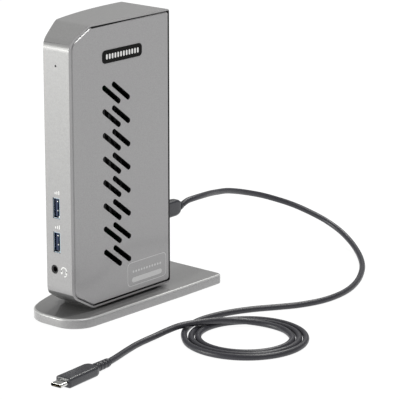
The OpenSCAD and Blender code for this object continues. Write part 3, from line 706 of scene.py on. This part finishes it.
# Badge: one plain row of equal bars
BAR_STEP, BARS = 2.6, 12
bars = [pill(BADGE_Y + BAR_STEP * (i - (BARS - 1) / 2), BADGE_Z, 1.5, 3.4) for i in range(BARS)]
printed("badge_mark", bars, on_side(BADGE_FACE_X), WHITE_INK)

# Lower corner label: thin round-cornered frame, one plain row of equal dots, and a pale strip
label_mid = (LABEL_Y[0] + LABEL_Y[1]) / 2
left, right = LABEL_Y[0] + LABEL_R, LABEL_Y[1] - LABEL_R
low, high = LABEL_Z[0] + LABEL_R, LABEL_Z[1] - LABEL_R
rim = [arc(u, v, LABEL_R, start, start - 90, 8)
       for u, v, start in ((right, low, 0), (left, low, -90), (left, high, 180), (right, high, 90))]
frame_line = line([p for part in rim for p in part] + [rim[0][0]], 0.4)
dots = [pill(label_mid + 2.6 * (i - 5), 24.2, 1.6, 1.6) for i in range(11)]
printed("label_mark", [frame_line] + dots, on_side(X_RIGHT), GREY_INK)
printed("label_strip", [pill(label_mid, 18.6, 29.0, 3.4)], on_side(X_RIGHT), GREY_INK)

# Front face: three rising bars above each USB port, and a headset outline beside the socket
FRONT_USB_Z = {"upper": 76.3, "lower": 54.1}
usb_marks = []
for z in (FRONT_USB_Z["upper"] + 10.2, FRONT_USB_Z["lower"] + 10.2):
    usb_marks += [pill(8.1 + 1.6 * i, z - 0.5 + 0.3 * i, 0.8, 1.5 + 0.6 * i) for i in range(3)]
printed("usb_marks", usb_marks, on_front, WHITE_INK)
band = line(arc(14.7, 36.4, 2.3, 200, -20), 0.8)
printed("headset_mark", [band, pill(12.7, 35.4, 1.4, 2.6), pill(16.7, 35.4, 1.4, 2.6),
                         line([(16.7, 34.3), (16.2, 33.2), (14.9, 32.8)], 0.7)],
        on_front, WHITE_INK)

# Inside each front USB port: two contact springs, a catch at the foot and the side lip, a pale blue
# strip that paints the reflection on the shell's rim
for port, z in FRONT_USB_Z.items():
    fingers = [((8.95, Y_FRONT + 0.7, z + dz - 0.45), (9.8, Y_FRONT + 13.2, z + dz + 0.45))
               for dz in (4.4, -1.5)]
    boxes(f"front_usb_springs_{port}", fingers, CONTACT, "dock", 0.2)
    catch = ((9.4, Y_FRONT + 0.9, z - 5.9), (10.9, Y_FRONT + 1.3, z - 5.5))
    boxes(f"front_usb_catch_{port}", [catch], CONTACT, "dock", 0.1)
    lip = ((11.4, Y_FRONT + 0.2, z - 6.2), (11.85, Y_FRONT + 0.8, z + 6.2))
    boxes(f"front_usb_lip_reflection_{port}", [lip], LIP_PAINTED_REFLECTION, "dock", 0.08)

# ------------------------------------------------------------------ stage and light

floor_mesh = bpy.data.meshes.new("floor")
FLOOR = 8
floor_mesh.from_pydata([(-FLOOR, -FLOOR, 0), (FLOOR, -FLOOR, 0), (FLOOR, FLOOR, 0),
                        (-FLOOR, FLOOR, 0)], [], [(0, 1, 2, 3)])
floor = bpy.data.objects.new("floor", floor_mesh)
bpy.context.scene.collection.objects.link(floor)
pale = surface("floor_pale", (0.1, 0.1, 0.1), (0.12, 0.12, 0.12), 40, (0.8, 0.9), bump=0.0,
               specular=0.0)
pale_shader = pale.node_tree.nodes["Principled BSDF"]
pale_shader.inputs["Emission Color"].default_value = (1, 1, 1, 1)
pale_shader.inputs["Emission Strength"].default_value = 0.95
floor_mesh.materials.append(pale)

world = bpy.data.worlds.new("studio")
bpy.context.scene.world = world
world.use_nodes = True
world.node_tree.nodes["Background"].inputs["Color"].default_value = (1, 1, 1, 1)
world.node_tree.nodes["Background"].inputs["Strength"].default_value = 0.3


def area_light(name, at, look, size, power, colour):
    """Square light, size in metres and power in watts, aimed at a point."""
    data = bpy.data.lights.new(name, "AREA")
    data.color = colour
    data.size = size
    data.energy = power
    obj = bpy.data.objects.new(name, data)
    bpy.context.scene.collection.objects.link(obj)
    obj.location = at
    obj.rotation_euler = (Vector(look) - Vector(at)).to_track_quat("-Z", "Y").to_euler()


area_light("key", (-0.9, -1.5, 0.3), (0, 0, 0.1), 0.5, 18.4, (0.99, 1.0, 0.955))
area_light("rear", (-0.25, 0.9, 1.3), (0, 0, 0.1), 0.5, 11.5, (1.0, 1.0, 0.965))
area_light("overhead", (0.5, 0.2, 1.3), (0, 0, 0.1), 0.35, 6.6, (1.0, 1.0, 0.985))
area_light("side", (1.3, 0.3, 1.3), (0, 0, 0.16), 0.6, 0.6, (0.97, 0.955, 1.0))
bpy.context.scene.view_settings.view_transform = "Standard"
